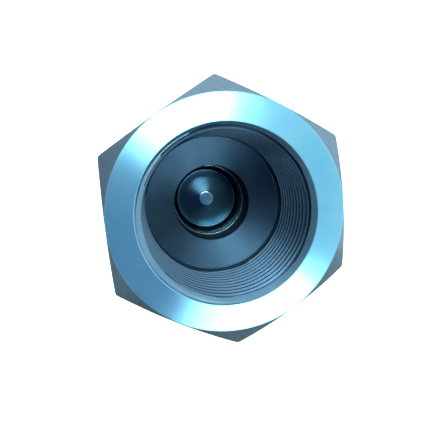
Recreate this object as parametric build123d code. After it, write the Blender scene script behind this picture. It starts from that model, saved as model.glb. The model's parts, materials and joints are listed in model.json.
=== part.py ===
"""In-line hydraulic non-return valve with a G1 1/4 female port at each end and a 55 mm hexagon.

The valve stands on its outlet face. Z runs along the flow axis, from the outlet face at z = 0 up to the inlet
face, and the origin is the centre of the outlet face. All sizes are in millimetres.
"""
from build123d import *
import math
import os

# Hexagon bar
across_flats = 55.0
bar_corner_radius = 0.8
face_land_radius = 27.25
end_chamfer_angle = 30.0

# Port G1 1/4, the same at both ends: 11 threads per inch
thread_pitch = 25.4 / 11
thread_major_radius = 41.91 / 2
thread_depth = 0.640327 * thread_pitch
port_mouth_clearance = 0.195
port_depth = 28.4
drill_point_angle = 140.0
relief_width = 3.6
relief_floor_land = 0.6
relief_clearance = 0.45

# Inlet passage and seat ring
orifice_radius = 11.35
orifice_length = 9.04
orifice_edge_chamfer = 0.15
seat_bore_radius = 10.95
seat_length = 9.0
seat_outer_radius = 18.95
seat_pocket_clearance = 0.05
seat_proud_length = 0.2
seat_land = 0.4
seat_front_chamfer = 0.25
seat_float = 0.05

# Poppet: head with a 45 degree cone, and the stem riveted through it
seat_gap = 0.05
nose_radius = 9.8
head_radius = 13.0
head_rim_length = 3.4
head_edge_chamfer = 0.5
rivet_radius = 2.35
rivet_proud_length = 0.35
rivet_edge_chamfer = 0.15
rivet_clearance = 0.01
stem_radius = 5.0
stem_collar_radius = 8.2
stem_collar_length = 3.5
stem_tail_length = 2.0
stem_end_chamfer = 0.8
lift = 8.0
lift_stop_gap = 0.05

# Spring and shim
spring_wire_radius = 1.0
spring_mean_radius = 9.9
spring_length = 28.5
spring_active_coils = 5.5
spring_closed_coils = 1.0
spring_closed_gap = 0.03
spring_seat_gap = 0.02
shim_inner_radius = 8.65
shim_outer_radius = 11.4
shim_thickness = 1.0

# Stem guide, bush and circlip
chamber_radius = 17.0
guide_clearance = 0.05
guide_rim_length = 6.0
guide_rim_width = 2.75
guide_arm_count = 3
guide_arm_width = 5.0
guide_hub_radius = 8.4
guide_edge_chamfer = 0.5
bush_outer_radius = 6.5
bush_recess = 0.5
bush_end_length = 4.0
bush_press_clearance = 0.01
stem_running_clearance = 0.05
guide_tail_radius = 5.6
circlip_thickness = 1.5
circlip_side_clearance = 0.1
circlip_groove_depth = 0.85
circlip_groove_clearance = 0.05
circlip_back_width = 3.2
circlip_end_width = 1.9
circlip_gap_angle = 24.0
circlip_lug_radius = 2.0
circlip_lug_hole_radius = 1.0
circlip_lug_sink = 0.8

# Screwed joint between the bodies, M45x1.5
joint_pitch_radius = 22.013
joint_thread_clearance = 0.02
joint_thread_length = 8.4
joint_undercut_length = 2.0
joint_undercut_radius = 20.6
joint_entry_chamfer = 1.0
nose_bore_radius = 21.0
nose_clearance = 0.05
nose_length = 7.75
nose_edge_chamfer = 0.6
nose_thread_gap = 0.4

# Seals
seat_seal_groove_depth = 1.5
seat_seal_groove_width = 2.7
joint_seal_groove_depth = 1.9
joint_seal_groove_width = 4.2
joint_seal_groove_setback = 1.6
seal_clearance = 0.02
seal_width_share = 0.9
joint_seal_width = 2.6
backup_ring_width = 1.3

# Outlet passage
outlet_web_length = 5.68
outlet_bore_radius = 14.2

# Flow arrow cut in one flat of the outlet body
arrow_length = 26.0
arrow_head_length = 9.0
arrow_head_width = 10.0
arrow_shaft_width = 3.4
arrow_depth = 0.4
arrow_below_joint = 16.0

overcut = 1.0

# The drill leaves a conical port floor, so its depth grows from the wall towards the axis
thread_minor_radius = thread_major_radius - thread_depth
floor_slope = math.tan(math.radians(90 - drill_point_angle / 2))
relief_end = port_depth - relief_floor_land
relief_start = relief_end - relief_width


def floor_depth(radius):
    """Depth of the conical port floor at a radius, from the port's face."""
    return port_depth + (thread_minor_radius - radius) * floor_slope


# Places along Z, worked out from the outlet face upwards
z_outlet_face = 0.0
z_outlet_web = z_outlet_face + floor_depth(outlet_bore_radius)
z_guide_seat = z_outlet_web + outlet_web_length
z_guide_top = z_guide_seat + guide_rim_length
z_shim_top = z_guide_top + shim_thickness
z_head_back = z_shim_top + spring_length
z_head_shoulder = z_head_back + head_rim_length
z_nose = z_head_shoulder + head_radius - nose_radius
z_seat_line = z_nose - (seat_bore_radius - nose_radius) + seat_gap
z_seat_back = z_seat_line - seat_land
z_seat_front = z_seat_back + seat_length
z_orifice_edge = z_seat_front + orifice_length
z_inlet_face = z_orifice_edge + floor_depth(orifice_radius)
z_collar_end = z_head_back - stem_collar_length
z_hub_top = z_collar_end - lift - lift_stop_gap
z_bush_top = z_hub_top - bush_recess
z_bush_end = z_guide_seat + bush_end_length
z_stem_end = z_bush_end - stem_tail_length
z_pocket_shoulder = z_seat_back + seat_proud_length
z_spigot_face = z_seat_back - seat_float
z_nose_end = z_spigot_face - nose_length
z_thread_start = z_nose_end - nose_thread_gap
z_thread_end = z_thread_start - joint_thread_length
z_joint = z_thread_end - joint_undercut_length

# Radii that follow from the sizes above
port_mouth_radius = thread_major_radius + port_mouth_clearance
relief_radius = thread_major_radius + relief_clearance
seat_pocket_radius = seat_outer_radius + seat_pocket_clearance
seat_groove_radius = seat_outer_radius - seat_seal_groove_depth
spigot_nose_radius = nose_bore_radius - nose_clearance
spigot_groove_radius = spigot_nose_radius - joint_seal_groove_depth
guide_rim_radius = chamber_radius - guide_clearance
guide_window_radius = guide_rim_radius - guide_rim_width
circlip_groove_radius = chamber_radius + circlip_groove_depth
bar_corner_reach = across_flats / math.sqrt(3)


def turned(outline):
    """Revolve a closed outline of (radius, height) points about the flow axis."""
    return revolve(Plane.XZ * make_face(Polyline(*outline, close=True)), Axis.Z)


def ring(inner_radius, outer_radius, z_low, z_high):
    """A plain ring between two heights."""
    return turned([(inner_radius, z_low), (outer_radius, z_low), (outer_radius, z_high), (inner_radius, z_high)])


def disc(radius, z_low, z_high):
    """A plain disc between two heights."""
    return Pos(0, 0, z_low) * Cylinder(radius, z_high - z_low, align=(Align.CENTER, Align.CENTER, Align.MIN))


def hexagon_bar(z_low, z_high):
    """A length of hexagon bar with its flats facing X, turned to a 30 degree chamfer at both ends."""
    section = Rot(0, 0, 30) * RegularPolygon(across_flats / 2, 6, major_radius=False)
    section = fillet(section.vertices(), bar_corner_radius)
    bar = Pos(0, 0, z_low) * extrude(section, z_high - z_low)
    reach = bar_corner_reach + overcut
    drop = (reach - face_land_radius) * math.tan(math.radians(end_chamfer_angle))
    envelope = turned(
        [
            (0, z_low),
            (face_land_radius, z_low),
            (reach, z_low + drop),
            (reach, z_high - drop),
            (face_land_radius, z_high),
            (0, z_high),
        ]
    )
    return bar & envelope


def port_cut(z_face, inward):
    """The port's hollow at the thread's minor diameter. The sign inward points from the face into the body."""
    mouth_chamfer = port_mouth_radius - thread_minor_radius
    depths = [
        (0, -overcut),
        (port_mouth_radius, -overcut),
        (port_mouth_radius, 0),
        (thread_minor_radius, mouth_chamfer),
        (thread_minor_radius, relief_start),
        (relief_radius, relief_start),
        (relief_radius, relief_end),
        (thread_minor_radius, relief_end),
        (thread_minor_radius, port_depth),
        (0, floor_depth(0)),
    ]
    return turned([(radius, z_face + inward * depth) for radius, depth in depths])


def make_inlet_body():
    """Hexagon body with the inlet port, orifice, seat pocket, seal bore and the joint's female thread."""
    female_radius = joint_pitch_radius + joint_thread_clearance
    z_bore_end = z_thread_start + nose_thread_gap / 2
    entry_radius = female_radius + joint_entry_chamfer
    edge_radius = orifice_radius + orifice_edge_chamfer
    passage = turned(
        [
            (0, z_orifice_edge + overcut),
            (edge_radius, z_orifice_edge + overcut),
            (edge_radius, z_inlet_face - floor_depth(edge_radius)),
            (orifice_radius, z_orifice_edge - orifice_edge_chamfer),
            (orifice_radius, z_seat_front),
            (seat_pocket_radius, z_seat_front),
            (seat_pocket_radius, z_pocket_shoulder),
            (nose_bore_radius, z_pocket_shoulder),
            (nose_bore_radius, z_bore_end),
            (female_radius, z_bore_end),
            (female_radius, z_joint + joint_entry_chamfer),
            (entry_radius, z_joint),
            (entry_radius, z_joint - overcut),
            (0, z_joint - overcut),
        ]
    )
    return hexagon_bar(z_joint, z_inlet_face) - port_cut(z_inlet_face, -1) - passage


def flow_arrow():
    """A shallow arrow pocket in the +X flat, pointing from the inlet to the outlet."""
    z_tail = z_joint - arrow_below_joint
    z_barb = z_tail - (arrow_length - arrow_head_length)
    z_tip = z_tail - arrow_length
    half_shaft, half_head = arrow_shaft_width / 2, arrow_head_width / 2
    outline = Polyline(
        (-half_shaft, z_tail),
        (half_shaft, z_tail),
        (half_shaft, z_barb),
        (half_head, z_barb),
        (0, z_tip),
        (-half_head, z_barb),
        (-half_shaft, z_barb),
        close=True,
    )
    floor_x = across_flats / 2 - arrow_depth
    return extrude(Plane.YZ.offset(floor_x) * make_face(outline), arrow_depth + overcut)


def make_outlet_body():
    """Hexagon body with the outlet port, the poppet chamber and the spigot that screws into the inlet body."""
    male_radius = joint_pitch_radius - joint_thread_clearance
    z_groove_top = z_spigot_face - joint_seal_groove_setback
    z_groove_low = z_groove_top - joint_seal_groove_width
    thread_chamfer = male_radius - spigot_nose_radius
    spigot = turned(
        [
            (0, z_spigot_face),
            (spigot_nose_radius - nose_edge_chamfer, z_spigot_face),
            (spigot_nose_radius, z_spigot_face - nose_edge_chamfer),
            (spigot_nose_radius, z_groove_top),
            (spigot_groove_radius, z_groove_top),
            (spigot_groove_radius, z_groove_low),
            (spigot_nose_radius, z_groove_low),
            (spigot_nose_radius, z_thread_start),
            (male_radius, z_thread_start - thread_chamfer),
            (male_radius, z_thread_end),
            (joint_undercut_radius, z_thread_end),
            (joint_undercut_radius, z_joint - overcut),
            (0, z_joint - overcut),
        ]
    )
    z_circlip_low = z_guide_top
    z_circlip_high = z_guide_top + circlip_thickness + circlip_side_clearance
    chamber = turned(
        [
            (0, z_spigot_face + overcut),
            (chamber_radius, z_spigot_face + overcut),
            (chamber_radius, z_circlip_high),
            (circlip_groove_radius, z_circlip_high),
            (circlip_groove_radius, z_circlip_low),
            (chamber_radius, z_circlip_low),
            (chamber_radius, z_guide_seat),
            (outlet_bore_radius, z_guide_seat),
            (outlet_bore_radius, z_outlet_web - overcut),
            (0, z_outlet_web - overcut),
        ]
    )
    bar = hexagon_bar(z_outlet_face, z_joint) + spigot
    return bar - port_cut(z_outlet_face, 1) - chamber - flow_arrow()


def make_seat_ring():
    """Hardened seat insert: chamfered front edge, seal groove outside, 45 degree seating land at the back."""
    z_groove_mid = (z_seat_front + z_seat_back) / 2
    z_groove_top = z_groove_mid + seat_seal_groove_width / 2
    z_groove_low = z_groove_mid - seat_seal_groove_width / 2
    return turned(
        [
            (seat_bore_radius, z_seat_line),
            (seat_bore_radius + seat_land, z_seat_back),
            (seat_outer_radius, z_seat_back),
            (seat_outer_radius, z_groove_low),
            (seat_groove_radius, z_groove_low),
            (seat_groove_radius, z_groove_top),
            (seat_outer_radius, z_groove_top),
            (seat_outer_radius, z_seat_front),
            (seat_bore_radius + seat_front_chamfer, z_seat_front),
            (seat_bore_radius, z_seat_front - seat_front_chamfer),
        ]
    )


def seal_ring(groove_radius, bore_radius, z_middle, width):
    """An O-ring squeezed between its groove and the bore around it, so its section is an ellipse."""
    inner = groove_radius + seal_clearance
    outer = bore_radius - seal_clearance
    section = Pos((inner + outer) / 2, z_middle) * Ellipse((outer - inner) / 2, width / 2)
    return revolve(Plane.XZ * section, Axis.Z)


def make_seat_o_ring():
    """O-ring in the seat ring's outer groove."""
    width = seat_seal_groove_width * seal_width_share
    return seal_ring(seat_groove_radius, seat_pocket_radius, (z_seat_front + z_seat_back) / 2, width)


def make_joint_o_ring():
    """O-ring at the pressure side of the spigot's groove."""
    z_groove_top = z_spigot_face - joint_seal_groove_setback
    z_middle = z_groove_top - seal_clearance - joint_seal_width / 2
    return seal_ring(spigot_groove_radius, nose_bore_radius, z_middle, joint_seal_width)


def make_joint_backup_ring():
    """Flat ring behind the joint O-ring, at the side that the pressure pushes it to."""
    z_low = z_spigot_face - joint_seal_groove_setback - joint_seal_groove_width
    inner = spigot_groove_radius + seal_clearance
    outer = nose_bore_radius - seal_clearance
    return ring(inner, outer, z_low, z_low + backup_ring_width)


def make_poppet_head():
    """Flat nose, 45 degree sealing cone and rim, with the hole for the stem's rivet end."""
    hole = rivet_radius + rivet_clearance
    return turned(
        [
            (hole, z_nose),
            (nose_radius, z_nose),
            (head_radius, z_head_shoulder),
            (head_radius, z_head_back + head_edge_chamfer),
            (head_radius - head_edge_chamfer, z_head_back),
            (hole, z_head_back),
        ]
    )


def make_poppet_stem():
    """Rivet end that shows in the nose, collar that stops the lift, and the stem that runs in the bush."""
    z_rivet_top = z_nose + rivet_proud_length
    return turned(
        [
            (0, z_rivet_top),
            (rivet_radius - rivet_edge_chamfer, z_rivet_top),
            (rivet_radius, z_rivet_top - rivet_edge_chamfer),
            (rivet_radius, z_head_back),
            (stem_collar_radius, z_head_back),
            (stem_collar_radius, z_collar_end),
            (stem_radius, z_collar_end),
            (stem_radius, z_stem_end + stem_end_chamfer),
            (stem_radius - stem_end_chamfer, z_stem_end),
            (0, z_stem_end),
        ]
    )


def make_spring():
    """Compression spring with a closed, ground coil at each end, at its installed length."""
    z_low = z_shim_top + spring_seat_gap
    z_high = z_head_back - spring_seat_gap
    length = z_high - z_low
    closed_rise = (2 * spring_wire_radius + spring_closed_gap) * spring_closed_coils
    active_rise = length - 2 * closed_rise
    stages = [
        (closed_rise, spring_closed_coils),
        (active_rise, spring_active_coils),
        (closed_rise, spring_closed_coils),
    ]
    coils = []
    z_start = z_low
    turned_angle = 0.0
    for rise, turns in stages:
        helix = Helix(pitch=rise / turns, height=rise, radius=spring_mean_radius)
        path = Pos(0, 0, z_start) * Rot(0, 0, turned_angle) * helix
        wire_end = Plane(origin=path @ 0, z_dir=path % 0)
        coils.append(sweep(wire_end * Circle(spring_wire_radius), path=path))
        z_start += rise
        turned_angle += 360 * turns
    wire = coils[0] + coils[1] + coils[2]
    outer = spring_mean_radius + spring_wire_radius + overcut
    return wire & disc(outer, z_low, z_high)


def make_spring_shim():
    """Washer under the spring, on the arms of the guide."""
    return ring(shim_inner_radius, shim_outer_radius, z_guide_top, z_shim_top)


def make_stem_guide():
    """Rim, arms and long hub. The hub carries the bush, and its top stops the stem's collar."""
    hub = turned(
        [
            (0, z_guide_seat),
            (guide_hub_radius, z_guide_seat),
            (guide_hub_radius, z_hub_top - guide_edge_chamfer),
            (guide_hub_radius - guide_edge_chamfer, z_hub_top),
            (0, z_hub_top),
        ]
    )
    rim = ring(guide_window_radius, guide_rim_radius, z_guide_seat, z_guide_top)
    arm_reach = guide_window_radius + guide_rim_width / 2
    arm = Pos(0, 0, z_guide_seat) * Box(
        arm_reach, guide_arm_width, guide_rim_length, align=(Align.MIN, Align.CENTER, Align.MIN)
    )
    arms = [Rot(0, 0, 360 * index / guide_arm_count) * arm for index in range(guide_arm_count)]
    bore = turned(
        [
            (0, z_hub_top + overcut),
            (bush_outer_radius + bush_press_clearance, z_hub_top + overcut),
            (bush_outer_radius + bush_press_clearance, z_bush_end),
            (guide_tail_radius, z_bush_end),
            (guide_tail_radius, z_guide_seat - overcut),
            (0, z_guide_seat - overcut),
        ]
    )
    return rim + hub + arms - bore


def make_guide_bush():
    """Plain bearing bush for the stem."""
    return ring(stem_radius + stem_running_clearance, bush_outer_radius, z_bush_end, z_bush_top)


def make_guide_circlip():
    """Internal circlip: widest at its back, narrowing to two drilled lugs beside the gap."""
    outer = circlip_groove_radius - circlip_groove_clearance
    inner = outer - (circlip_back_width + circlip_end_width) / 2
    shift = (circlip_back_width - circlip_end_width) / 2
    body = Circle(outer) - Pos(shift, 0) * Circle(inner)
    half_gap = math.radians(circlip_gap_angle / 2)
    far = 2 * outer
    wedge = make_face(
        Polyline(
            (0, 0),
            (far, -far * math.tan(half_gap)),
            (far, far * math.tan(half_gap)),
            close=True,
        )
    )
    body = body - wedge
    lug_distance = outer - circlip_end_width - circlip_lug_sink
    lug_angle = half_gap + circlip_lug_radius / lug_distance
    for side in (-1, 1):
        place = Pos(lug_distance * math.cos(lug_angle), side * lug_distance * math.sin(lug_angle))
        body = body + place * Circle(circlip_lug_radius)
        body = body - place * Circle(circlip_lug_hole_radius)
    return Pos(0, 0, z_guide_top) * extrude(body, circlip_thickness)


def main():
    """Build every piece and write one STEP file for each."""
    pieces = {
        "inlet_body": make_inlet_body(),
        "outlet_body": make_outlet_body(),
        "seat_ring": make_seat_ring(),
        "seat_o_ring": make_seat_o_ring(),
        "joint_o_ring": make_joint_o_ring(),
        "joint_backup_ring": make_joint_backup_ring(),
        "poppet_head": make_poppet_head(),
        "poppet_stem": make_poppet_stem(),
        "spring": make_spring(),
        "spring_shim": make_spring_shim(),
        "stem_guide": make_stem_guide(),
        "guide_bush": make_guide_bush(),
        "guide_circlip": make_guide_circlip(),
    }
    os.makedirs("parts", exist_ok=True)
    for name, piece in pieces.items():
        export_step(piece, f"parts/{name}.step")
    print(f"overall length {z_inlet_face:.3f} mm, joint at {z_joint:.3f} mm")
    print(f"thread minor radius {thread_minor_radius:.3f} mm, mouth radius {port_mouth_radius:.3f} mm")


if __name__ == "__main__":
    main()
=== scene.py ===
"""Looks of an in-line hydraulic non-return valve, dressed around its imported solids.

The valve stands on its outlet face with its flow axis along Z and the inlet port up. Sizes in this script are
in millimetres and become metres where a mesh is made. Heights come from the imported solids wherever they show
them.
"""
from __future__ import annotations

import json
import logging
import math
from collections.abc import Callable
from dataclasses import dataclass, field, replace
from enum import Enum
from typing import Any

import bmesh
import bpy
from mathutils import Matrix, Vector

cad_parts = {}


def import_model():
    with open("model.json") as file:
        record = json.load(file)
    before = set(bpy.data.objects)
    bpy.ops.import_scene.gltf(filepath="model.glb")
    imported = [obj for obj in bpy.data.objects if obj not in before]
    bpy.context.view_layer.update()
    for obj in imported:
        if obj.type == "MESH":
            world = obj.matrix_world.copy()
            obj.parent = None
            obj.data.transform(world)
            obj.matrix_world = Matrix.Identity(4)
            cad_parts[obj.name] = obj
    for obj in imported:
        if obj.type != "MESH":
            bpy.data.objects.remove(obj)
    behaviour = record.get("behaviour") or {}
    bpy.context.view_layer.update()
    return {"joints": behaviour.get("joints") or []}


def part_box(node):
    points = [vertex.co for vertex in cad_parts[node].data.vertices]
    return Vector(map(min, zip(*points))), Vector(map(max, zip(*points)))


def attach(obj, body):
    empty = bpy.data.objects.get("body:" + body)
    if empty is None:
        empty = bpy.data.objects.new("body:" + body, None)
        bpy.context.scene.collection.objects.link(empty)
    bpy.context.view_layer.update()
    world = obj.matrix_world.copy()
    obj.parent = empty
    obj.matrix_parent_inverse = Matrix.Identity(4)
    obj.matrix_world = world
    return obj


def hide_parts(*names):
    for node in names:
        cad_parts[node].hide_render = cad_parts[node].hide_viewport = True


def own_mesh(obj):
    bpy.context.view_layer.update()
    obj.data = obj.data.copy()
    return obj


LOG = logging.getLogger("valve")
METRES = 0.001
INLET_BODY = "inlet_body"
OUTLET_BODY = "outlet_body"
FIXED = "valve_body"
MOVING = "poppet"
BODY_COLUMNS = 360
PIECE_COLUMNS = 160
SHARP_ANGLE = math.radians(32)
MERGE_DISTANCE = 0.000002
THREAD_MINOR_RADIUS = 38.952 / 2
ORIFICE_RADIUS = 11.35
OUTLET_BORE_RADIUS = 14.2
SEAT_BORE_RADIUS = 10.95
NOSE_RADIUS = 9.8
RIVET_RADIUS = 2.35
FINE_EDGE = 0.05
BROKEN_EDGE = 0.1
# Tool marks run around the axis and spread a highlight across them, a quarter turn from their own direction
ACROSS_THE_MARKS = 0.25
MATH = "ShaderNodeMath"

Ring = list[tuple[float, float, float]]
Outline = list[tuple[float, float]]
Feed = bpy.types.NodeSocket | bpy.types.Node


class Surface(Enum):
    """Which of a body's finishes a stretch of its skin has."""

    TURNED = 0
    BAR = 1
    CHAMFER = 2
    THREAD = 3
    FLOOR = 4
    ORIFICE = 5


class Combination(Enum):
    """How a tool changes a piece."""

    CUT_OUT = "DIFFERENCE"
    JOIN_ON = "UNION"


def linear(code: str) -> tuple[float, float, float, float]:
    """Turn an sRGB hex colour into a linear colour with full alpha.

    Args:
        code: six hex digits, with or without a leading mark.

    Returns:
        Red, green, blue and alpha, as Blender's sockets take them.
    """
    digits = code.lstrip("#")
    values = [int(digits[start : start + 2], 16) / 255 for start in (0, 2, 4)]
    low_end, slope, offset, power = 0.04045, 12.92, 0.055, 2.4
    red, green, blue = (
        value / slope if value <= low_end else ((value + offset) / (1 + offset)) ** power for value in values
    )
    return red, green, blue, 1.0


def add_node(
    tree: bpy.types.NodeTree, kind: str, inputs: dict[str | int, Any] | None = None, **settings: Any
) -> bpy.types.Node:
    """Add a node with its settings, and set or link its inputs.

    Args:
        tree: the node tree that gets the node.
        kind: the node's type.
        inputs: socket name or number to a constant, to the output that feeds it, or to the node whose first
            output in use feeds it.
        **settings: the node's own properties.

    Returns:
        The new node.
    """
    made = tree.nodes.new(kind)
    for name, value in settings.items():
        setattr(made, name, value)
    for key, value in (inputs or {}).items():
        if isinstance(value, bpy.types.Node):
            value = next(output for output in value.outputs if output.enabled)
        if isinstance(value, bpy.types.NodeSocket):
            tree.links.new(value, made.inputs[key])
        else:
            made.inputs[key].default_value = value
    return made


def make_material(name: str, shade: Callable[[bpy.types.NodeTree], bpy.types.Node]) -> bpy.types.Material:
    """Make a node material.

    Args:
        name: the material's name.
        shade: builds the nodes in a tree and returns the shader.

    Returns:
        The material.
    """
    made = bpy.data.materials.new(name)
    made.use_nodes = True
    made.node_tree.nodes.clear()
    add_node(made.node_tree, "ShaderNodeOutputMaterial", {"Surface": shade(made.node_tree)})
    return made


def link_object(name: str, data: bpy.types.ID) -> bpy.types.Object:
    """Make an object at the origin and link it to the scene.

    Args:
        name: the object's name.
        data: its mesh, curve, lamp or camera.

    Returns:
        The linked object.
    """
    made = bpy.data.objects.new(name, data)
    bpy.context.scene.collection.objects.link(made)
    return made


def evaluated_mesh(holder: bpy.types.Object) -> bpy.types.Mesh:
    """Return an object's shape, with its modifiers or curve settings applied, as a new plain mesh."""
    depsgraph = bpy.context.evaluated_depsgraph_get()
    return bpy.data.meshes.new_from_object(holder.evaluated_get(depsgraph))


def shade_edges(data: bpy.types.Mesh) -> None:
    """Shade a mesh smooth up to its sharp edges."""
    data.shade_smooth()
    data.set_sharp_from_angle(angle=SHARP_ANGLE)


@dataclass(frozen=True)
class Span:
    """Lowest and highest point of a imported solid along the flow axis, and its half width, in millimetres."""

    low: float
    high: float
    half_width: float


def span_of(node: str) -> Span:
    """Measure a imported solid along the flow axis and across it."""
    low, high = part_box(node)
    return Span(low.z / METRES, high.z / METRES, (high.x - low.x) / 2 / METRES)


@dataclass(frozen=True)
class TurnedMarks:
    """Lathe marks: rings around the flow axis, spaced by the tool's feed, whose long sides may lean out."""

    # Real feeds are mostly 0.1 to 0.3 mm and too fine to show, so many are drawn coarser
    feed: float = 0.42
    depth: float = 0.0035
    lean: float = 0.0


@dataclass(frozen=True)
class PaintedEdgeHighlight:
    """A painted highlight: a brighter band along an edge or a thread's crests, faded out at its reach to each
    side.

    The band's middle lies inside the edge's radius by the inset, or outside it where the inset is negative.
    """

    radius: float
    reach: float
    colour: str
    inset: float = 0.0


@dataclass(frozen=True)
class Look:
    """What every finish has: a name, the record's slot, two colours that mix in patches, and a roughness."""

    name: str
    slot: str
    bright: str
    deep: str
    roughness: float


@dataclass(frozen=True)
class MetalLook(Look):
    """Numbers and colours of a machined metal."""

    roughness_spread: float
    anisotropy: float
    marks: TurnedMarks = TurnedMarks()
    # A painted highlight along one radius, where the look has one
    edge: PaintedEdgeHighlight | None = None
    patch_size: float = 14.0
    patch_contrast: tuple[float, float] = (0.3, 0.7)
    bump_strength: float = 0.35


@dataclass(frozen=True)
class BarLook(Look):
    """Numbers and colours of the hexagon bar's own skin."""

    roughness_spread: float
    # Real drawing lines are finer than this and wouldn't show
    streak_width: float = 0.6
    streak_length: float = 22.0
    streak_depth: float = 0.004
    bump_strength: float = 0.4


@dataclass(frozen=True)
class SoftLook(Look):
    """Numbers and colours of a seal material."""

    # A mould's or a skiving blade's own grain is finer than this and wouldn't show
    grain: float = 0.5
    grain_depth: float = 0.01
    bump_strength: float = 0.4


class Finish:
    """A surface finish that builds its material once from its look and then shares it."""

    def __init__(self, look: Look) -> None:
        """Keep the look, with no material made yet."""
        self.look = look
        self.made: bpy.types.Material | None = None

    def material(self) -> bpy.types.Material:
        """Return the finish's material, building it the first time.

        Returns:
            The shared material.
        """
        if self.made is None:
            self.made = make_material(self.look.name, self.shade)
        return self.made

    def shade(self, tree: bpy.types.NodeTree) -> bpy.types.Node:
        """Build the finish's nodes in a material's tree and return the shader."""
        raise NotImplementedError


class TurnedMetal(Finish):
    """Metal turned on a lathe: rings of tool marks that stretch a highlight into two opposite fans."""

    look: MetalLook

    def shade(self, tree: bpy.types.NodeTree) -> bpy.types.Node:
        """Build the turned metal.

        Args:
            tree: the material's tree.

        Returns:
            The shader.
        """
        look = self.look
        place = add_node(tree, "ShaderNodeTexCoord").outputs["Object"]
        parts = add_node(tree, "ShaderNodeSeparateXYZ", {0: place}).outputs
        flat_place = add_node(tree, "ShaderNodeCombineXYZ", {"X": parts["X"], "Y": parts["Y"], "Z": 0.0})
        radius = add_node(tree, "ShaderNodeVectorMath", {0: flat_place}, operation="LENGTH")
        along = add_node(tree, MATH, {0: radius, 1: parts["Z"]}, operation="ADD")
        feed_place = add_node(tree, "ShaderNodeCombineXYZ", {"X": along, "Y": 0.0, "Z": 0.0})
        mark_scale, patch_scale = 1 / (look.marks.feed * METRES), 1 / (look.patch_size * METRES)
        feed = {"Vector": feed_place, "Scale": mark_scale, "Detail": 2.0, "Roughness": 0.6}
        rings = add_node(tree, "ShaderNodeTexNoise", feed)
        cloud = {"Vector": place, "Scale": patch_scale, "Detail": 3.0, "Roughness": 0.55}
        patches = add_node(tree, "ShaderNodeTexNoise", cloud)
        low, high = look.patch_contrast
        tint = add_node(tree, "ShaderNodeMapRange", {"Value": patches, "From Min": low, "From Max": high})
        colours = {"Factor": tint, "A": linear(look.deep), "B": linear(look.bright)}
        colour = add_node(tree, "ShaderNodeMix", colours, data_type="RGBA")
        # The look's edge band is a painted highlight
        if look.edge:
            colour = self.paint_edge_highlight(tree, colour, radius)
        smooth, rough = look.roughness - look.roughness_spread, look.roughness + look.roughness_spread
        roughness = add_node(tree, "ShaderNodeMapRange", {"Value": rings, "To Min": smooth, "To Max": rough})
        marks ={"Strength": look.bump_strength, "Distance": look.marks.depth * METRES, "Height": rings}
        normal = add_node(tree, "ShaderNodeBump", marks)
        if look.marks.lean:
            fall = add_node(tree, MATH, {0: radius, 1: -look.marks.lean}, operation="MULTIPLY")
            leaning = {"Strength": 1.0, "Distance": 1.0, "Height": fall, "Normal": normal}
            normal = add_node(tree, "ShaderNodeBump", leaning)
        axis = (0.0, 0.0, 1.0)
        across = add_node(tree, "ShaderNodeVectorMath", {0: flat_place, 1: axis}, operation="CROSS_PRODUCT")
        skin = {
            "Base Color": colour,
            "Metallic": 1.0,
            "Roughness": roughness,
            "Anisotropic": look.anisotropy,
            "Anisotropic Rotation": ACROSS_THE_MARKS,
            "Tangent": add_node(tree, "ShaderNodeVectorMath", {0: across}, operation="NORMALIZE"),
            "Normal": normal,
        }
        return add_node(tree, "ShaderNodeBsdfPrincipled", skin)

    def paint_edge_highlight(self, tree: bpy.types.NodeTree, colour: Feed, radius: Feed) -> bpy.types.Node:
        """Paint a highlight on an edge or a thread's crests.

        Args:
            tree: the material's tree.
            colour: the colour of the rest.
            radius: distance from the flow axis, in metres.

        Returns:
            The colour with the look's painted highlight band.
        """
        edge = self.look.edge
        middle = (edge.radius - edge.inset) * METRES
        from_middle = add_node(tree, MATH, {0: radius, 1: middle}, operation="SUBTRACT")
        distance = add_node(tree, MATH, {0: from_middle}, operation="ABSOLUTE")
        fade = {"Value": distance, "From Max": edge.reach * METRES, "To Min": 1.0, "To Max": 0.0}
        share = add_node(tree, "ShaderNodeMapRange", fade)
        colours = {"Factor": share, "A": colour, "B": linear(edge.colour)}
        return add_node(tree, "ShaderNodeMix", colours, data_type="RGBA")


class DrawnBar(Finish):
    """Cold drawn bar under zinc: long faint streaks along the bar break the reflection into soft bands."""

    look: BarLook

    def shade(self, tree: bpy.types.NodeTree) -> bpy.types.Node:
        """Build the drawn bar's skin.

        Args:
            tree: the material's tree.

        Returns:
            The shader.
        """
        look = self.look
        place = add_node(tree, "ShaderNodeTexCoord").outputs["Object"]
        across, along = 1 / (look.streak_width * METRES), 1 / (look.streak_length * METRES)
        stretched = add_node(tree, "ShaderNodeMapping", {"Vector": place, "Scale": (across, across, along)})
        streaks = add_node(tree, "ShaderNodeTexNoise", {"Vector": stretched, "Scale": 1.0, "Detail": 4.0})
        colours = {"Factor": streaks, "A": linear(look.deep), "B": linear(look.bright)}
        smooth, rough = look.roughness - look.roughness_spread, look.roughness + look.roughness_spread
        sheen = {"Value": streaks, "To Min": smooth, "To Max": rough}
        lines = {"Strength": look.bump_strength, "Distance": look.streak_depth * METRES, "Height": streaks}
        skin = {
            "Base Color": add_node(tree, "ShaderNodeMix", colours, data_type="RGBA"),
            "Metallic": 1.0,
            "Roughness": add_node(tree, "ShaderNodeMapRange", sheen),
            "Normal": add_node(tree, "ShaderNodeBump", lines),
        }
        return add_node(tree, "ShaderNodeBsdfPrincipled", skin)


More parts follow.
